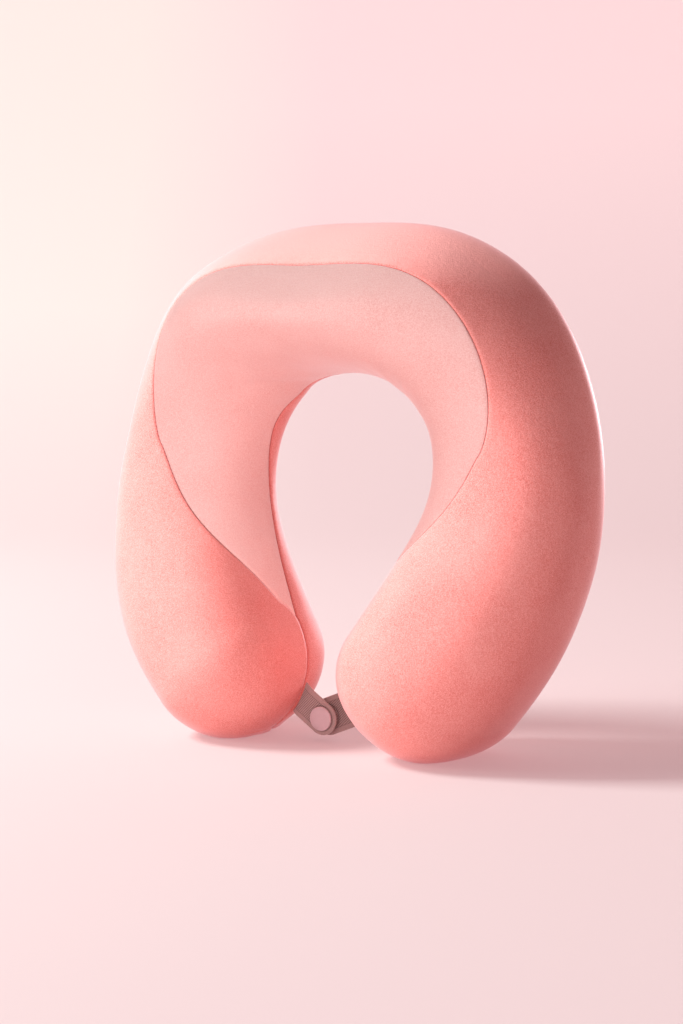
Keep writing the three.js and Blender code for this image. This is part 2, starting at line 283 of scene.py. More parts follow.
def crease(distance):
    """How deep the skin is drawn in at a distance from a seam."""
    return GROOVE * np.exp(-distance / GROOVE_WIDTH)


def gather(u, angle, distance):
    """Small swells that a seam's thread draws into the cloth beside it."""
    wave = np.sin(u * 41 + np.sin(u * 17) * 1.3 + angle * 0.02) * np.sin(u * 23 + 1.7)
    return 0.16 * wave * np.exp(-((distance - 4.5) / 4.0) ** 2)


def swell(points):
    """Slow, slight unevenness of stuffed cloth, at most about half a millimetre."""
    x, y, z = points[..., 0], points[..., 1], points[..., 2]
    slow = 0.28 * np.sin(x / 17 + 1.3 * np.sin(z / 29)) * np.sin(z / 21 + y / 25 + 0.7)
    return slow + 0.16 * np.sin(y / 9 + x / 23) * np.sin(z / 11 - x / 31)


def spline_weight(offset):
    """Weight of a neighbour in a uniform cubic B-spline."""
    t = np.abs(offset)
    return np.where(t < 1, (4 - 6 * t * t + 3 * t ** 3) / 6, np.clip(2 - t, 0, None) ** 3 / 6)


def pinning(rows, angles):
    """How firmly each place of the cover is held: 1 at the seams, the zip and the arm tips, 0 between."""
    points = surface(rows, angles)
    held = np.clip((np.abs(rows) - TIP - 0.85) / 0.1, 0, 1)
    for panel in ("outer", "inset", "back"):
        distance = np.linalg.norm(points - surface(rows, seam_angles(panel, rows)[0]), axis=-1)
        held = np.maximum(held, np.clip((SEAM_FREE - distance) / (SEAM_FREE - SEAM_HELD), 0, 1))
    ring = np.abs(np.hypot(points[..., 0], points[..., 2] - ZIP_CENTRE_Z) - ZIP_RADIUS)
    at_zip = (points[..., 0] < 5) & (points[..., 1] > BACK_Y - 10)
    by_zip = np.clip((ZIP_FREE - ring) / (ZIP_FREE - ZIP_HELD), 0, 1)
    return np.maximum(held, np.where(at_zip, by_zip, 0))


def billow():
    """Inflates the cover as cloth held at its seams; how far it swells, by row and angle."""
    rows, angles = ALL_ROWS[2:-2:BILLOW_ROWS], OUTER_SEAM + np.arange(0, 360, BILLOW_STEP)
    count, columns = len(rows), len(angles)
    u, angle = np.meshgrid(rows, angles, indexing="ij")
    held = pinning(u, angle)
    start = surface(u, angle, 0.0) - outward(u, angle) * (BILLOW_INSET * (1 - held))[..., None]
    faces = grid_faces(count, columns, wrap=True).tolist()
    faces.append(list(range(columns)))
    faces.append([(count - 1) * columns + k for k in range(columns)][::-1])
    bag = tidy(mesh_object("bag", start.reshape(-1, 3), faces), 1e-9)
    pins = bag.vertex_groups.new(name="pins")
    for index, weight in enumerate(held.ravel()):
        pins.add([index], float(weight), "REPLACE")
    cloth = bag.modifiers.new("cloth", "CLOTH")
    cloth.settings.quality = 6
    cloth.settings.mass = 0.3
    cloth.settings.tension_stiffness = cloth.settings.compression_stiffness = 12
    cloth.settings.bending_stiffness = 0.4
    cloth.settings.use_pressure = True
    cloth.settings.uniform_pressure_force = 6
    cloth.settings.effector_weights.gravity = 0
    cloth.settings.vertex_group_mass = "pins"
    cloth.collision_settings.use_collision = False
    cloth.point_cache.frame_start, cloth.point_cache.frame_end = 1, BILLOW_FRAMES
    scene = bpy.context.scene
    for step in range(1, BILLOW_FRAMES + 1):
        scene.frame_set(step)
    apply_modifiers(bag)
    swollen = np.array([vertex.co for vertex in bag.data.vertices]) / MM
    scene.frame_set(1)
    bpy.data.objects.remove(bag)
    moved = ((swollen.reshape(count, columns, 3) - start) * outward(u, angle)).sum(-1)
    return rows, np.clip(moved, -BILLOW_INSET, BILLOW_CAP)


BILLOW = billow()


def swelling(u, angle, distance):
    """The cloth's swelling at any place, from a smooth surface close to the simulated one."""
    if BILLOW is None:
        return 0
    rows, height = BILLOW
    row = np.interp(u, rows, np.arange(len(rows)))
    column = (angle - OUTER_SEAM) / BILLOW_STEP
    first_row, first_column = np.floor(row).astype(int), np.floor(column).astype(int)
    total = 0
    for i in range(-1, 3):
        for j in range(-1, 3):
            at_row, at_column = first_row + i, first_column + j
            value = height[np.clip(at_row, 0, len(rows) - 1), at_column % height.shape[1]]
            total = total + value * spline_weight(row - at_row) * spline_weight(column - at_column)
    return total * (1 - np.exp(-(distance / 3) ** 2))


def skin(u, angle, distance, inset):
    """The pillow's skin with its creases, standing on the floor."""
    u = u + 0 * angle
    points = surface(u, angle, inset)
    depth = crease(distance) - gather(u, angle, distance) - swell(points) - swelling(u, angle, distance)
    points = points - outward(u, angle) * depth[..., None]
    points[..., 2] = np.maximum(points[..., 2], inset)
    return points


# ---------------------------------------------------------------- cover, liner, foam

def cover_panel(panel, rows, middle):
    """One closed piece of velour between its seams."""
    angles, distance = panel_columns(panel, rows, EDGE_STEPS, middle)
    u = rows[:, None]
    outside = skin(u, angles, distance, 0.0)
    picks = np.r_[0, 3, 6:angles.shape[1] - 6:5, angles.shape[1] - 4, angles.shape[1] - 1]
    inside = skin(u, angles[:, picks], distance[:, picks], COVER)
    count, columns, thin = len(rows), angles.shape[1], len(picks)
    start = count * columns
    faces = [grid_faces(count, columns, flip=True), grid_faces(count, thin, start)]
    left, left_in = np.arange(count) * columns, start + np.arange(count) * thin
    faces.append(strip_faces(left_in, left))
    faces.append(strip_faces(left + columns - 1, left_in + thin - 1))
    faces = [quad for block in faces for quad in block.tolist()]
    if panel == "inset":
        for row, order in ((0, 1), (count - 1, -1)):
            rim = [row * columns + j for j in range(columns)]
            back = [start + row * thin + j for j in range(thin)][::-1]
            faces.append((rim + back)[::order])
    vertices = np.concatenate([outside.reshape(-1, 3), inside.reshape(-1, 3)])
    piece = mesh_object("cover_" + panel, vertices, faces)
    # Painted shade: the cloth is darkened at the bottom of each seam's crease, and all over its inner face
    # and cut edges.
    seam_shade_mask = np.exp(-distance / 0.7).ravel()
    set_attribute(piece, "seam", np.concatenate([seam_shade_mask, np.ones(inside[..., 0].size)]))
    tidy(piece)
    # How far each vertex faces up: the mask of the painted light that lightens the top of the cloth.
    set_attribute(piece, "painted_top_light", [max(0.0, vertex.normal.z) for vertex in piece.data.vertices])
    return piece


def ring_solid(name, rows, inset, thickness=0.0):
    """A closed layer round the whole pillow: a solid, or a bag of cloth."""
    blocks = [panel_columns(panel, rows, [0, 1.5, 4], 9) for panel in ("outer", "inset", "back")]
    angles = np.concatenate([block[0] for block in blocks], 1)
    distance = np.concatenate([block[1] for block in blocks], 1)
    layers = [inset] if not thickness else [inset, inset + thickness]
    vertices, faces = [], []
    for k, depth in enumerate(layers):
        vertices.append(skin(rows[:, None], angles, distance, depth).reshape(-1, 3))
        faces += grid_faces(len(rows), angles.shape[1], k * angles.size, wrap=True, flip=k == 0).tolist()
    return tidy(mesh_object(name, np.concatenate(vertices), faces))


# ---------------------------------------------------------------- materials

def new_material(name):
    """A material, its node maker and its Principled shader."""
    material = bpy.data.materials.new(name)
    material.use_nodes = True
    nodes, links = material.node_tree.nodes, material.node_tree.links
    nodes.clear()
    output = nodes.new("ShaderNodeOutputMaterial")
    shader = nodes.new("ShaderNodeBsdfPrincipled")
    links.new(shader.outputs["BSDF"], output.inputs["Surface"])

    def add(kind, inputs=None, **settings):
        node = nodes.new("ShaderNode" + kind)
        for key, value in settings.items():
            setattr(node, key, value)
        for key, value in (inputs or {}).items():
            socket = node.inputs[key]
            if isinstance(value, bpy.types.NodeSocket):
                links.new(value, socket)
            else:
                socket.default_value = value
        return node

    def feed(key, value):
        if isinstance(value, bpy.types.NodeSocket):
            links.new(value, shader.inputs[key])
        else:
            shader.inputs[key].default_value = value

    return material, add, feed


def linear(red, green, blue):
    """An sRGB colour of 0 to 255 as Blender's linear colour."""
    values = [channel / 255 for channel in (red, green, blue)]
    return [v / 12.92 if v <= 0.04045 else ((v + 0.055) / 1.055) ** 2.4 for v in values] + [1.0]


def noise(add, scale, detail=2.0, roughness=0.5):
    """Noise in the object's own space."""
    place = add("TexCoord").outputs["Object"]
    node = add("TexNoise", {"Vector": place, "Scale": scale, "Detail": detail, "Roughness": roughness})
    return node.outputs["Fac"]


def math_node(add, operation, first, second=0.0, third=0.0):
    """One arithmetic node."""
    return add("Math", {0: first, 1: second, 2: third}, operation=operation).outputs[0]


def ramp(add, factor, low, high, start=0.0, end=1.0):
    """Scales a factor from low..high to start..end, clamped."""
    limits = {"From Min": low, "From Max": high, "To Min": start, "To Max": end}
    return add("MapRange", {"Value": factor, **limits}).outputs["Result"]


def mix(add, factor, first, second):
    """One colour mixed into another by a factor."""
    node = add("Mix", data_type="RGBA")
    for key, value in ((0, factor), (6, first), (7, second)):
        if isinstance(value, bpy.types.NodeSocket):
            node.id_data.links.new(value, node.inputs[key])
        else:
            node.inputs[key].default_value = value
    return node.outputs[2]


def velour(name, base, dark, light, rim, painted_seam_shade, painted_top_light, painted_top_span, painted_top_share, sheen):
    """Short-pile velour: grain, soft mottling, a pale bloom at grazing angles, painted light on cloth that
    faces up, painted shade in the seams.
    """
    material, add, feed = new_material(name)
    grain = noise(add, 1500, 3, 0.7)
    fibre = noise(add, 2600, 2, 0.6)
    cloud = noise(add, 30, 4, 0.55)
    coarse, fine = math_node(add, "MULTIPLY", grain, 0.65), math_node(add, "MULTIPLY", fibre, 0.35)
    speckle = math_node(add, "ADD", coarse, fine)
    colour = mix(add, ramp(add, speckle, 0.39, 0.61), dark, light)
    colour = mix(add, 0.25, colour, base)
    colour = mix(add, ramp(add, cloud, 0.35, 0.65, 0.0, 0.25), colour, light)
    # Painted light: the colour is mixed towards a lighter one where the cloth faces up, as if lit from
    # above.
    top = add("Attribute", attribute_name="painted_top_light").outputs["Fac"]
    colour = mix(add, ramp(add, top, *painted_top_span, 0.0, painted_top_share), colour, painted_top_light)
    # Painted shade: darker towards the bottom of a seam's crease and on the cloth's inside.
    seam = add("Attribute", attribute_name="seam").outputs["Fac"]
    colour = mix(add, ramp(add, seam, 0.55, 1.0, 0.0, 0.9), colour, painted_seam_shade)
    feed("Base Color", colour)
    feed("Roughness", 0.8)
    feed("Specular IOR Level", 0.25)
    feed("Sheen Weight", sheen)
    feed("Sheen Roughness", 0.45)
    feed("Sheen Tint", rim)
    height = math_node(add, "ADD", speckle, math_node(add, "MULTIPLY", noise(add, 420, 2), 0.6))
    bump = add("Bump", {"Height": height, "Strength": 0.7, "Distance": 0.0005}).outputs["Normal"]
    feed("Normal", bump)
    bloom = add("BsdfGlossy", {"Color": rim, "Roughness": 0.42}).outputs["BSDF"]
    facing = add("LayerWeight", {"Blend": 0.5}).outputs["Facing"]
    edge = math_node(add, "POWER", ramp(add, facing, 0.5, 1.0), 2.0)
    edge = math_node(add, "MULTIPLY", edge, 0.85)
    return blend_shaders(material, edge, bloom)


def blend_shaders(material, factor, other):
    """Lays another shader over the material's own by a factor."""
    nodes, links = material.node_tree.nodes, material.node_tree.links
    output = nodes["Material Output"]
    own = output.inputs["Surface"].links[0].from_socket
    both = nodes.new("ShaderNodeMixShader")
    links.new(factor, both.inputs[0])
    links.new(own, both.inputs[1])
    links.new(other, both.inputs[2])
    links.new(both.outputs[0], output.inputs["Surface"])
    return material


def plain_cloth(name, base, dark, scale, bump=0.0002):
    """Thin knit, foam or thread: fine noise in colour and relief."""
    material, add, feed = new_material(name)
    fine = noise(add, scale, 3, 0.6)
    coarse = noise(add, scale * 0.12, 3)
    colour = mix(add, ramp(add, fine, 0.35, 0.65), dark, base)
    colour = mix(add, ramp(add, coarse, 0.4, 0.7, 0, 0.3), colour, dark)
    feed("Base Color", colour)
    feed("Roughness", 0.95)
    feed("Sheen Weight", 0.2)
    feed("Normal", add("Bump", {"Height": fine, "Strength": 0.6, "Distance": bump}).outputs["Normal"])
    return material


def webbing_cloth(name, base, dark, light):
    """Woven strap: the weave with painted shade, its raised yarns lighter and the gaps between them darker;
    the hem plain; painted shade in the hem's ditch and round the snap's cap.
    """
    material, add, feed = new_material(name)
    rib = add("Attribute", attribute_name="rib").outputs["Fac"]
    hem = add("Attribute", attribute_name="hem").outputs["Fac"]
    shade = add("Attribute", attribute_name="shade").outputs["Fac"]
    fibre = noise(add, 2400, 3, 0.6)
    # Painted shade: darker in the gaps between the raised yarns.
    colour = mix(add, ramp(add, rib, 0.25, 0.8), dark, light)
    colour = mix(add, hem, colour, base)
    colour = mix(add, ramp(add, fibre, 0.3, 0.7, 0, 0.35), colour, dark)
    # Painted shade and a painted contact shadow from the shade mask: the hem's ditch and the dent round the
    # snap's cap.
    colour = mix(add, ramp(add, shade, 0.3, 1.0, 0, 0.8), colour, dark)
    feed("Base Color", colour)
    feed("Roughness", 0.8)
    feed("Sheen Weight", 0.35)
    feed("Sheen Roughness", 0.5)
    feed("Normal", add("Bump", {"Height": fibre, "Strength": 0.5, "Distance": 0.0002}).outputs["Normal"])
    return material


def tape_cloth(name, dark, light, pitch):
    """Zip tape: fine lengthwise ribs crossed by yarns, from the tape's own coordinates, with painted shade
    between the ribs' crests.
    """
    material, add, feed = new_material(name)
    run = add("Attribute", attribute_name="run").outputs["Fac"]
    across = add("Attribute", attribute_name="across").outputs["Fac"]
    rib = math_node(add, "SINE", math_node(add, "MULTIPLY", across, 2 * math.pi / pitch))
    yarn = math_node(add, "SINE", math_node(add, "MULTIPLY", run, 2 * math.pi / (pitch * 0.8)))
    height = math_node(add, "MULTIPLY_ADD", rib, yarn, 1.0)
    # Painted shade: lighter on the crests of the relief, darker between them.
    colour = mix(add, ramp(add, height, 0.3, 1.7), dark, light)
    colour = mix(add, ramp(add, noise(add, 300, 3), 0.35, 0.7, 0, 0.3), colour, dark)
    feed("Base Color", colour)
    feed("Roughness", 0.85)
    feed("Sheen Weight", 0.3)
    feed("Normal", add("Bump", {"Height": height, "Strength": 0.6, "Distance": 0.0001}).outputs["Normal"])
    return material


def moulded(name, base, wear, roughness, metallic=0.0, scale=900):
    """Moulded plastic or lacquered metal: soft mottling and fine handling marks."""
    material, add, feed = new_material(name)
    cloud = noise(add, 160, 4)
    marks = noise(add, scale, 4, 0.7)
    colour = mix(add, ramp(add, cloud, 0.35, 0.7, 0, 0.5), base, wear)
    feed("Base Color", colour)
    feed("Metallic", metallic)
    feed("Roughness", ramp(add, marks, 0.3, 0.7, roughness - 0.07, roughness + 0.1))
    feed("Normal", add("Bump", {"Height": marks, "Strength": 0.15, "Distance": 0.00005}).outputs["Normal"])
    return material


# Each velour's last settings give the painted light on its upward-facing cloth: the lighter colour, the
# range of facing and its share.
CORAL = velour("coral_velour", linear(237, 139, 131), linear(213, 97, 91), linear(248, 171, 164),
               rim=linear(250, 226, 230), painted_seam_shade=linear(150, 48, 48),
               painted_top_light=linear(250, 176, 169), painted_top_span=(0.6, 0.95), painted_top_share=0.9, sheen=0.14)
PINK = velour("pink_velour", linear(243, 190, 184), linear(230, 162, 155), linear(250, 211, 206),
              rim=linear(254, 232, 232), painted_seam_shade=linear(176, 78, 74),
              painted_top_light=linear(250, 214, 208), painted_top_span=(0.3, 0.9), painted_top_share=0.3, sheen=0.3)
FOAM = plain_cloth("memory_foam", linear(244, 232, 208), linear(222, 204, 172), 700)
LINER_CLOTH = plain_cloth("liner_knit", linear(245, 241, 236), linear(222, 216, 210), 1300)
THREAD = plain_cloth("thread", linear(246, 176, 168), linear(214, 118, 112), 3000)
WEBBING = webbing_cloth("webbing", linear(176, 141, 137), linear(100, 70, 68), linear(206, 172, 167))
TAPE = tape_cloth("zip_tape", linear(186, 98, 94), linear(236, 150, 144), 0.0008)
COIL = moulded("zip_coil", linear(214, 132, 126), linear(190, 108, 103), 0.45)
METAL = moulded("zip_metal", linear(196, 158, 154), linear(160, 120, 117), 0.32, 0.85, 1400)
PLASTIC = moulded("snap_plastic", linear(205, 172, 176), linear(188, 154, 157), 0.5)


# ---------------------------------------------------------------- making the pillow


def bends(piece):
    """Bakes a piece's placement into its mesh; the piece runs through both halves."""
    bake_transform(piece)
    return piece


def paint(piece, material):
    """Gives a piece its one material."""
    piece.data.materials.clear()
    piece.data.materials.append(material)
    return piece


def zip_point(radius, degrees, y):
    """Points on a circle about the zip's centre, y counted from the flat back."""
    turn = np.radians(degrees)
    return np.stack(np.broadcast_arrays(radius * np.cos(turn), BACK_Y + y,
                                        ZIP_CENTRE_Z + radius * np.sin(turn)), -1)


def zip_sweep(name, section, first, last, step=0.7):
    """A closed bar of a (radial, y) section along the zip's circle."""
    section = np.array(section, float)
    degrees = np.linspace(first, last, max(3, int((last - first) / step)))
    points = zip_point(ZIP_RADIUS + section[None, :, 0], degrees[:, None], section[None, :, 1])
    count, size = points.shape[:2]
    faces = grid_faces(count, size, wrap=True).tolist()
    faces.append(list(range(size)))
    faces.append([(count - 1) * size + k for k in range(size)][::-1])
    piece = mesh_object(name, points.reshape(-1, 3), faces)
    set_attribute(piece, "run", np.repeat(np.radians(degrees) * ZIP_RADIUS * MM, size))
    set_attribute(piece, "across", np.tile(section[:, 0] * MM, count))
    return tidy(piece)


def cut(piece, cutter):
    """Takes the cutter's shape out of a piece and throws the cutter away."""
    subtract = piece.modifiers.new("cut", "BOOLEAN")
    subtract.operation = "DIFFERENCE"
    subtract.solver = "EXACT"
    subtract.object = cutter
    apply_modifiers(piece)
    bpy.data.objects.remove(cutter)
    return piece


def slot_cutter(half, low, high):
    """The slot in the back panel that the zip lies in."""
    section = [(-half, low), (half, low), (half, high), (-half, high)]
    return zip_sweep("slot_cutter", section, ZIP_FROM, ZIP_TO, 1.2)


def stitches(name, places, along_run, normals, length, radius):
    """A row of short thread dashes, each a small closed bar with rounded ends."""
    aside = np.cross(along_run, normals)
    turn = np.arange(6) * math.pi / 3
    rings = []
    for shift, size in ((-0.5, 0.35), (-0.38, 1), (0.38, 1), (0.5, 0.35)):
        middle = places + along_run * length * shift
        ring = middle[:, None] + radius * size * (aside[:, None] * np.cos(turn)[:, None]
                                                  + normals[:, None] * np.sin(turn)[:, None])
        rings.append(ring)
    points = np.stack(rings, 1)
    one = grid_faces(4, 6, wrap=True).tolist() + [[0, 1, 2, 3, 4, 5], [23, 22, 21, 20, 19, 18]]
    faces = [[24 * k + v for v in face] for k in range(len(places)) for face in one]
    piece = mesh_object(name, points.reshape(-1, 3), faces)
    return paint(tidy(piece), THREAD)


def unit(vectors):
    """Vectors of length one."""
    return vectors / np.maximum(np.linalg.norm(vectors, axis=-1, keepdims=True), 1e-9)


def seam_stitches(name, panel, pitch, length, radius, depth, stop=TIP):
    """Thread dashes that lie in the crease where a panel starts."""
    fine = np.linspace(-stop, stop, 4001)
    angle = seam_angles(panel, fine)[0]
    points = surface(fine, angle)
    run = np.concatenate([[0], np.cumsum(np.linalg.norm(np.diff(points, axis=0), axis=1))])
    u = np.interp(np.arange(pitch, run[-1] - pitch, pitch), run, fine)
    angle = seam_angles(panel, u)[0]
    normals = unit(outward(u, angle))
    ahead = seam_angles(panel, u + 0.003)[0]
    along_run = surface(u + 0.003, ahead) - surface(u, angle)
    along_run = unit(along_run - normals * (along_run * normals).sum(-1, keepdims=True))
    return stitches(name, surface(u, angle) - normals * depth, along_run, normals, length, radius)


def add_pillow():
    """The cover's three panels, the liner and the foam, each through both halves."""
    outer = paint(cover_panel("outer", ALL_ROWS, 52), CORAL)
    inset = paint(cover_panel("inset", INSET_ROWS, 46), PINK)
    back = paint(cut(cover_panel("back", ALL_ROWS, 34), slot_cutter(SLOT_HALF, -6, 4)), CORAL)
    liner = paint(ring_solid("inner_liner", ALL_ROWS[::3], LINER_INSET, LINER), LINER_CLOTH)
    foam = paint(ring_solid("foam_core", ALL_ROWS[::3], FOAM_INSET), FOAM)
    rows = ((outer, "outer_panel", "coral_velour"), (inset, "inset_panel", "pink_velour"),
            (back, "back_panel", "coral_velour"), (liner, "liner", "liner_cloth"),
            (foam, "foam_core", "foam"))
    for piece, label, slot in rows:
        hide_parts(label + "_left", label + "_right")
        bends(piece)
    bends(seam_stitches("stitches_front", "inset", 2.7, 1.5, 0.2, 1.15, INSET_END))
    bends(seam_stitches("stitches_back", "back", 2.7, 1.5, 0.2, 1.15))
    bends(seam_stitches("stitches_outer", "outer", 2.7, 1.5, 0.2, 1.15))


# ---------------------------------------------------------------- webbing tabs and press snap

def strap_frame(drop):
    """Direction of a strap from its seam to the snap, and across it, in the plane Y = constant."""
    turn = math.radians(drop)
    return np.array([math.cos(turn), 0, math.sin(turn)]), np.array([-math.sin(turn), 0, math.cos(turn)])


def webbing_strap(node, width, reach, drop, low, seam_y):
    """A woven strap with a round hemmed end about the snap, bent into its seam at the other end."""
    half = width / 2
    step = 0.3
    straight = np.arange(-(reach + STRAP_ROOT), -step / 2, step)
    turn = np.linspace(-90, 90, 91)
    centre = np.concatenate([straight, np.zeros(len(turn)), straight[::-1]])
    aim_at = np.radians(np.concatenate([np.full(len(straight), -90.0), turn, np.full(len(straight), 90.0)]))
    edge = STRAP_EDGE
    rim = half - edge + edge * np.sin(np.radians([0, 20, 40, 60, 75, 90]))
    radius = np.concatenate([np.linspace(0, half - edge, 34)[:-1], rim])
    s = centre[:, None] + radius * np.cos(aim_at)[:, None]
    t = radius * np.sin(aim_at)[:, None]
    hem = np.clip((radius - (half - HEM)) / 0.25, 0, 1) * np.ones_like(s)
    ditch = np.exp(-((radius - (half - HEM - 0.05)) / 0.22) ** 2)
    run, across = strap_frame(drop)
    level, upright = s * run[0] + t * across[0], s * run[2] + t * across[2]
    yarn = np.sin(2 * math.pi * upright / YARN_PITCH + level * 1.4)
    rib = 0.5 + 0.5 * np.sin(2 * math.pi * level / RIB_PITCH) * yarn
    dent = np.exp(-((np.hypot(s, t) - CAP_RADIUS - 0.2) / 0.35) ** 2)
    weave = 0.16 * rib * (1 - hem) * (1 - dent) + 0.05 * hem - 0.13 * ditch - 0.22 * dent
    band = 0.035 * np.sin(2 * math.pi * radius / 0.5) * hem
    past_flat = np.clip(radius - half + edge, 0, edge) / edge
    thick = STRAP / 2 * np.sqrt(np.clip(1 - past_flat ** 2, 0, 1))
    up = thick + (weave + band) * np.clip((half - radius) / edge, 0, 1)
    bend = np.clip((-s - reach + 2) / (STRAP_ROOT + 2), 0, 1)
    middle = low + 0.7 + (seam_y - low - 0.7) * bend * bend * (3 - 2 * bend)
    flat = s[..., None] * run + t[..., None] * across + np.array([SNAP_X, 0, SNAP_Z])
    front, back = flat.copy(), flat.copy()
    front[..., 1], back[..., 1] = middle - up, middle + up
    rows, columns = s.shape
    faces = grid_faces(rows, columns).tolist()
    faces += grid_faces(rows, columns, rows * columns, flip=True).tolist()
    for row in (0, rows - 1):
        line = row * columns + np.arange(columns)
        faces += strip_faces(line, line + rows * columns).tolist()
    vertices = np.concatenate([front.reshape(-1, 3), back.reshape(-1, 3)])
    piece = mesh_object("woven_" + node, vertices, faces)
    # Painted shade in the ditch beside the hem, and a painted contact shadow in the dent round the snap's
    # cap.
    shade = np.maximum(ditch, dent)
    for label, values in (("hem", hem), ("rib", rib), ("shade", shade)):
        set_attribute(piece, label, np.tile(values.ravel(), 2))
    tidy(piece, 2e-6)
    hole = [(0, low - 3), (SNAP_HOLE, low - 3), (SNAP_HOLE, low + 5), (0, low + 5)]
    cut(piece, turned("hole", hole, 40))
    paint(piece, WEBBING)
    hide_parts(node)
    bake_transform(piece)


def turned(name, profile, segments=96):
    """A closed solid turned about the snap's axis from (radius, y) points."""
    profile = np.array(profile, float)
    turn = np.arange(segments) * 2 * math.pi / segments
    radius, y = profile[:, 0][:, None], profile[:, 1][:, None]
    across, up = SNAP_X + radius * np.cos(turn), SNAP_Z + radius * np.sin(turn)
    points = np.stack(np.broadcast_arrays(across, y, up), -1)
    faces = grid_faces(len(profile), segments, wrap=True).tolist()
    return tidy(mesh_object(name, points.reshape(-1, 3), faces))


def rounded(centre, radius, first, last, count=6):
    """Points of an arc in a profile, angles in degrees."""
    turn = np.radians(np.linspace(first, last, count))
    return [(centre[0] + radius * math.cos(a), centre[1] + radius * math.sin(a)) for a in turn]


def snap_piece(node, body, profile):
    """One turned piece of the press snap."""
    piece = paint(turned("turned_" + node, profile), PLASTIC)
    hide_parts(node)
    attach(piece, body)


def add_tabs():
    """Two webbing tabs; the left one ends in the snap's cap and socket, the right one in its stud."""
    webbing_strap("strap_left",
                  width=19, reach=15.5, drop=-33.8, low=4.8, seam_y=7.5)
    webbing_strap("strap_right",
                  width=21, reach=34, drop=202.5, low=11.5, seam_y=9)
    cap = [(0, 3.02), (2.8, 3.04), (5.0, 3.12), (5.4, 3.2), (5.6, 3.2)] + rounded((6.1, 3.85), 0.8, -128, 20)
    snap_piece("snap_cap", "left_tab",
               cap + rounded((6.6, 4.2), 0.25, 30, 90, 3) + [(1.8, 4.45), (1.8, 6.75), (1.6, 6.9), (0, 6.9)])
    ring = [(2.4, 6.7), (2.6, 6.5)] + rounded((4.9, 6.8), 0.3, -90, 0) + rounded((4.4, 7.7), 0.8, 0, 90)
    snap_piece("snap_socket", "left_tab",
               ring + rounded((3.1, 8.1), 0.4, 90, 180) + [(2.4, 7.9), (2.4, 6.7)])
    stud = [(0, 8.8), (1.2, 8.82)] + rounded((1.4, 9.3), 0.48, -90, 0) + [(1.72, 9.9), (1.9, 10.4)]
    snap_piece("snap_stud", "right_tab",
               stud + rounded((4.8, 10.8), 0.4, -90, 0) + [(5.2, 11.1), (5.1, 11.2), (0, 11.2)])
    post = [(0, 11.5), (1.8, 11.5), (1.8, 13.25), (6.6, 13.25)] + rounded((6.4, 13.65), 0.45, -50, 20)
    snap_piece("snap_post_cap", "right_tab",
               post + rounded((6.0, 13.85), 0.8, 10, 90) + [(4.8, 14.6), (0, 14.7)])


# ---------------------------------------------------------------- zip

def coil(name, way):
    """One nylon coil: a fine monofilament wound round the zip's line, closed wherever the slider is."""
    wire, pitch, sides = 0.13, 0.95, 6
    first, last = math.radians(ZIP_FROM + 2), math.radians(ZIP_TO - 2)
    turns = int((last - first) * ZIP_RADIUS / pitch)
    wound = np.linspace(0, turns * 2 * math.pi, turns * 14 + 1)
    place = np.degrees(first + (last - first) * wound / wound[-1])
    line = zip_point(ZIP_RADIUS + way * (1.05 + 0.42 * np.cos(wound)), place, 0.2 + 0.67 * np.sin(wound))
    along_wire = unit(np.gradient(line, axis=0))
    middle = zip_point(ZIP_RADIUS + way * 1.05, place, np.full_like(place, 0.2))
    outwards = unit(line - middle)
    aside = unit(np.cross(along_wire, outwards))
    outwards = np.cross(aside, along_wire)
    turn = np.arange(sides) * 2 * math.pi / sides
    ring = outwards[:, None] * np.cos(turn)[:, None] + aside[:, None] * np.sin(turn)[:, None]
    points = line[:, None] + wire * ring
    count = len(line)
    faces = grid_faces(count, sides, wrap=True).tolist()
    faces.append(list(range(sides)))
    faces.append([(count - 1) * sides + k for k in range(sides)][::-1])
    return tidy(mesh_object(name, points.reshape(-1, 3), faces), 1e-7)


def bevelled_box(along, across, heights, bevel, taper=1.0):
    """A box on the slider with rounded edges, narrower towards the zip's lower end."""
    import bmesh
    from mathutils import Matrix
    work = bmesh.new()
    bmesh.ops.create_cube(work, size=1)
    sizes = (across[1] - across[0], along[1] - along[0], heights[1] - heights[0])
    middle = ((across[0] + across[1]) / 2, (along[0] + along[1]) / 2, (heights[0] + heights[1]) / 2)
    place = Matrix.Translation(middle) @ Matrix.Diagonal((*sizes, 1))
    bmesh.ops.transform(work, matrix=place, verts=work.verts)
    for vertex in work.verts:
        if vertex.co.y < middle[1]:
            vertex.co.x *= taper
    bmesh.ops.bevel(work, geom=work.edges[:], offset=bevel, segments=4, profile=0.5, affect="EDGES")
    mesh = bpy.data.meshes.new("block")
    work.to_mesh(mesh)
    work.free()
    block = bpy.data.objects.new("block", mesh)
    bpy.context.scene.collection.objects.link(block)
    return block


def fused(name, blocks, holes=()):
    """Boxes joined into one solid, placed on the zip where the slider rests."""
    piece = blocks[0]
    changes = [(block, "UNION") for block in blocks[1:]] + [(hole, "DIFFERENCE") for hole in holes]
    for other, operation in changes:
        change = piece.modifiers.new("join", "BOOLEAN")
        change.operation = operation
        change.solver = "EXACT"
        change.object = other
        apply_modifiers(piece)
        bpy.data.objects.remove(other)
    local = np.array([vertex.co for vertex in piece.data.vertices])
    turn = math.radians(SLIDER_AT)
    radial = np.array([math.cos(turn), 0, math.sin(turn)])
    up_zip = np.array([math.sin(turn), 0, -math.cos(turn)])
    outwards = np.array([0, 1, 0]) * (BACK_Y + local[:, 2:])
    points = radial * (ZIP_RADIUS + local[:, :1]) + up_zip * local[:, 1:2] + outwards
    points[:, 2] += ZIP_CENTRE_Z
    piece.data.vertices.foreach_set("co", (points * MM).ravel())
    piece.name = piece.data.name = name
    piece.data.polygons.foreach_set("use_smooth", [True] * len(piece.data.polygons))
    tidy(piece)
    return paint(piece, METAL)


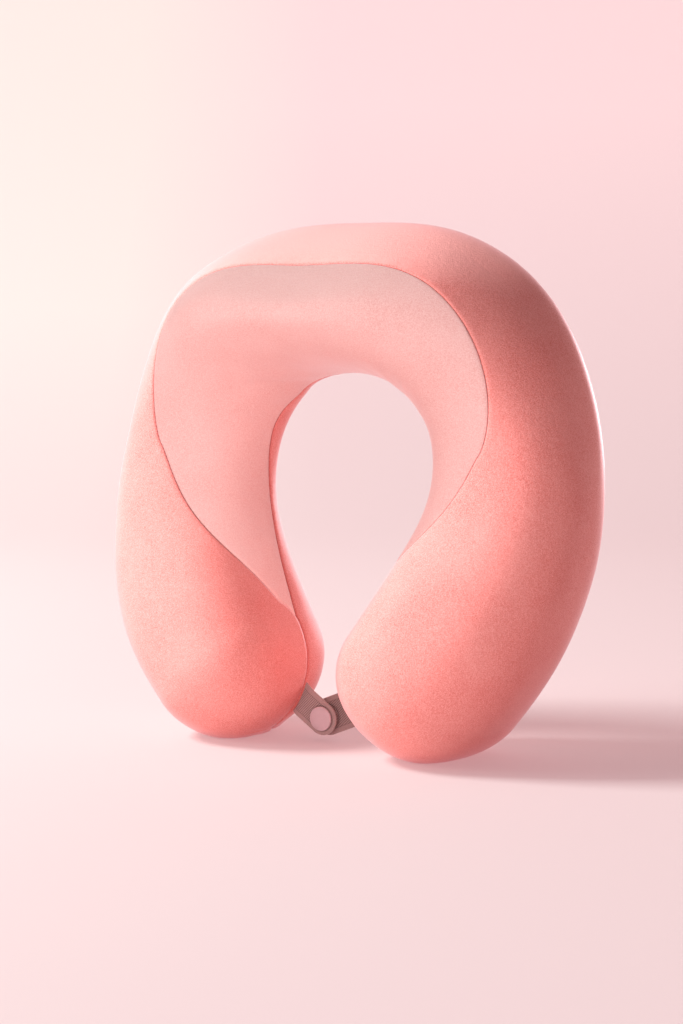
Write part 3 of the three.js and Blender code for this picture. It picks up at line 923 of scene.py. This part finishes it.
def add_zip():
    """Tapes, coils, end stops, slider and pull in the back of the left half."""
    edge = [(1.9, -0.2), (5.6, -0.2), (5.75, -0.1), (5.75, 0.3),
            (5.6, 0.4), (1.9, 0.4), (1.75, 0.3), (1.75, -0.1)]
    for label, way in (("inner", -1), ("outer", 1)):
        section = [(way * r, y) for r, y in edge]
        tape = paint(zip_sweep("woven_tape_" + label, section, ZIP_FROM, ZIP_TO, 0.35), TAPE)
        winding = paint(coil("wound_coil_" + label, way), COIL)
        for part, slot in ((tape, "zip_tape"), (winding, "zip_coil")):
            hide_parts(slot + "_" + label)
            bends(part)
    corners = [(1.3, 0.7), (-1.3, 0.7), (-1.3, -0.3), (1.3, -0.3)]
    stop = []
    for quarter, corner in enumerate(corners):
        stop += rounded(corner, 0.3, 90 * quarter, 90 * quarter + 90, 4)
    for name, first in (("zip_top_stop", ZIP_FROM + 1), ("zip_bottom_stop", ZIP_TO - 1.8)):
        piece = paint(zip_sweep("clamped_" + name, stop, first, first + 0.8, 0.2), METAL)
        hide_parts(name)
        bends(piece)
    slider = fused("cast_slider", [
        bevelled_box((-4.5, 4.5), (-3.2, 3.2), (-1.4, -0.9), 0.2, 0.8),
        bevelled_box((-4.5, 4.5), (-3.2, 3.2), (1.3, 2.2), 0.35, 0.8),
        bevelled_box((-1, 1), (-0.3, 0.3), (-1.3, 2), 0.05),
        bevelled_box((-3, -1.2), (-0.8, 0.8), (1.6, 4.6), 0.3),
        bevelled_box((1.2, 3), (-0.8, 0.8), (1.6, 4.6), 0.3),
        bevelled_box((-3, 3), (-0.8, 0.8), (3.8, 4.6), 0.3),
    ])
    pull = fused("cast_pull", [bevelled_box((-23, 0.5), (-3.2, 3.2), (2.5, 3.5), 0.35)],
                 [bevelled_box((-3.7, -0.5), (-1.6, 1.6), (2, 4), 0.3),
                  bevelled_box((-20.5, -9.5), (-1.5, 1.5), (3.3, 4), 0.15)])
    for piece, body in ((slider, "slider"), (pull, "pull")):
        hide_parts("zip_" + body)
        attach(piece, body)
    slot_thread()


def slot_thread():
    """The line of thread that holds the cover to the zip's tapes, either side of the slot."""
    from mathutils import Vector
    from mathutils.bvhtree import BVHTree
    cover = bpy.data.objects["cover_back"]
    tree = BVHTree.FromObject(cover, bpy.context.evaluated_depsgraph_get())
    for label, way in (("inner", -1), ("outer", 1)):
        radius = ZIP_RADIUS + way * (SLOT_HALF + 1.3)
        degrees = np.arange(ZIP_FROM - 0.3, ZIP_TO + 0.5, math.degrees(2.7 / radius))
        places = zip_point(radius, degrees, np.zeros_like(degrees))
        for place in places:
            hit = tree.ray_cast(Vector((place[0] * MM, 0.08, place[2] * MM)), Vector((0, -1, 0)))[0]
            if hit is not None:
                place[1] = hit.y / MM + 0.05
        turn = np.radians(degrees)
        run = np.stack([-np.sin(turn), 0 * turn, np.cos(turn)], -1)
        normals = np.tile([0.0, 1.0, 0.0], (len(degrees), 1))
        bends(stitches("stitches_zip_" + label, places, run, normals, 1.9, 0.2))


add_pillow()
add_tabs()
add_zip()


# ---------------------------------------------------------------- camera, light, stage

def aim(thing, place, target):
    """Puts a light or camera at a place, looking at the target."""
    from mathutils import Vector
    thing.location = place
    direction = Vector(target) - Vector(place)
    thing.rotation_euler = direction.to_track_quat("-Z", "Y").to_euler()


VIEW_AZIMUTH, VIEW_ELEVATION, VIEW_DISTANCE = 33, 5.1, 1.186
VIEW_TARGET = np.array([0.0052, 0.002, 0.1295])
LENS = 76.0
LIGHT_TARGET_HEIGHT = 0.13

BOWL_FLAT = 2.6      # radius of the stage's flat floor
BOWL_BEND = 1.2      # radius of the bend from the floor to the wall
BOWL_TOP = 4.0
BEND_BEHIND = 1.1    # how far behind the pillow the floor starts to rise
PAPER, PAPER_FLECK, PAPER_AROUND = (0.44, 0.425, 0.415, 1), (0.39, 0.37, 0.36, 1), (0.2, 0.18, 0.18, 1)
FLOOR_GLOW, WALL_GLOW, WARM_GLOW = (0.40, 0.24, 0.254, 1), (0.58, 0.345, 0.365, 1), (0.53, 0.43, 0.39, 1)

RIGHT = np.array([math.cos(math.radians(VIEW_AZIMUTH)), math.sin(math.radians(VIEW_AZIMUTH)), 0])
AWAY = np.array([-RIGHT[1], RIGHT[0], 0])
UP = np.array([0.0, 0.0, 1.0])


def add_camera():
    """From the right of the front, a little above, with a long lens."""
    data = bpy.data.cameras.new("camera")
    data.lens = LENS
    camera = bpy.data.objects.new("camera", data)
    bpy.context.scene.collection.objects.link(camera)
    rise = math.radians(VIEW_ELEVATION)
    place = VIEW_TARGET + VIEW_DISTANCE * (UP * math.sin(rise) - AWAY * math.cos(rise))
    aim(camera, place.tolist(), VIEW_TARGET.tolist())
    bpy.context.scene.camera = camera


def add_light(name, azimuth, elevation, size, power, only=(), distance=2.5):
    """A soft box, placed by its angle from the camera's side and its height over the floor.

    It lights only the pieces named, or where none is named everything but the inset.
    """
    data = bpy.data.lights.new(name, "AREA")
    data.shape = "RECTANGLE"
    data.size = data.size_y = size
    data.energy = power
    data.color = (1.0, 0.97, 0.975)
    lamp = bpy.data.objects.new(name, data)
    lamp.visible_camera = False
    lit = bpy.data.collections.new(name)
    for index, piece in enumerate(only or ["cover_inset"]):
        lit.objects.link(bpy.data.objects[piece])
        lit.collection_objects[index].light_linking.link_state = "INCLUDE" if only else "EXCLUDE"
    lamp.light_linking.receiver_collection = lit
    bpy.context.scene.collection.objects.link(lamp)
    turn, rise = math.radians(azimuth), math.radians(elevation)
    level = RIGHT * math.sin(turn) - AWAY * math.cos(turn)
    middle = UP * LIGHT_TARGET_HEIGHT
    place = middle + distance * (level * math.cos(rise) + UP * math.sin(rise))
    aim(lamp, place.tolist(), middle.tolist())


def paper_material():
    """Matt paper with a faint glow: pink, warmer on the left, and dim away from the wall behind."""
    material, add, feed = new_material("paper_sweep")
    place = add("NewGeometry").outputs["Position"]
    side = add("VectorMath", {0: place, 1: RIGHT.tolist()}, operation="DOT_PRODUCT").outputs["Value"]
    behind = add("VectorMath", {0: place, 1: AWAY.tolist()}, operation="DOT_PRODUCT").outputs["Value"]
    height = add("SeparateXYZ", {0: place}).outputs["Z"]
    left = ramp(add, side, -0.02, -0.30)
    warm = math_node(add, "MULTIPLY", left, ramp(add, height, 0.0, 0.25, 0.25, 1.0))
    around = math_node(add, "MULTIPLY", ramp(add, height, 0.0, 0.7), ramp(add, behind, 1.3, 0.4))
    paper = mix(add, ramp(add, noise(add, 900, 2), 0.3, 0.7, 0, 0.1), PAPER, PAPER_FLECK)
    glow = mix(add, ramp(add, height, 0.0, 0.55), FLOOR_GLOW, WALL_GLOW)
    feed("Base Color", mix(add, around, paper, PAPER_AROUND))
    feed("Emission Color", mix(add, warm, glow, WARM_GLOW))
    feed("Emission Strength", ramp(add, around, 0.0, 1.0, 1.0, 0.16))
    feed("Roughness", 0.95)
    feed("Specular IOR Level", 0.1)
    return material


def add_stage():
    """A plain paper bowl about the pillow: the floor, a wide bend, and the wall all round."""
    bend = [(BOWL_FLAT + BOWL_BEND * math.sin(a), BOWL_BEND - BOWL_BEND * math.cos(a))
            for a in np.linspace(0, math.pi / 2, 24)]
    profile = np.array([(0.02, 0), (1.0, 0), (2.0, 0)] + bend + [(BOWL_FLAT + BOWL_BEND, BOWL_TOP)])
    turn = np.arange(96) * 2 * math.pi / 96
    level = np.cos(turn)[:, None] * RIGHT + np.sin(turn)[:, None] * AWAY
    points = profile[:, 0, None, None] * level + profile[:, 1, None, None] * UP
    points = points - AWAY * (BOWL_FLAT - BEND_BEHIND)
    faces = grid_faces(len(profile), len(turn), wrap=True, flip=True).tolist() + [list(range(len(turn)))]
    sweep = tidy(mesh_object("sweep", points.reshape(-1, 3) / MM, faces))
    paint(sweep, paper_material())


def add_world():
    """A faint even light from all round."""
    world = bpy.data.worlds.new("studio")
    world.use_nodes = True
    background = world.node_tree.nodes["Background"]
    background.inputs["Color"].default_value = (1.0, 0.86, 0.88, 1)
    background.inputs["Strength"].default_value = 0.05
    bpy.context.scene.world = world


OUTSIDE = ["cover_outer", "cover_back"]
INSET = ["cover_inset"]
TABS = ["woven_strap_left", "woven_strap_right", "turned_snap_cap"]

add_camera()
add_light("key", -94, 42, size=0.75, power=80)
add_light("low_left", -84, 16, size=0.9, power=33)
add_light("camera_side", -5, 8, size=1.1, power=4)
add_light("edge", 130, 10, size=0.61, power=14, only=OUTSIDE + TABS, distance=1.7)
add_light("bounce", -33, 2, size=0.25, power=3.1, only=OUTSIDE, distance=0.8)
add_light("inset_key", -66, 56, size=1.2, power=24, only=INSET)
add_light("inset_front", -6, 8, size=2.2, power=51, only=INSET + TABS)
add_light("inset_back", 170, 45, size=1.0, power=10, only=INSET)
add_stage()
add_world()
bpy.context.scene.view_settings.view_transform = "Standard"
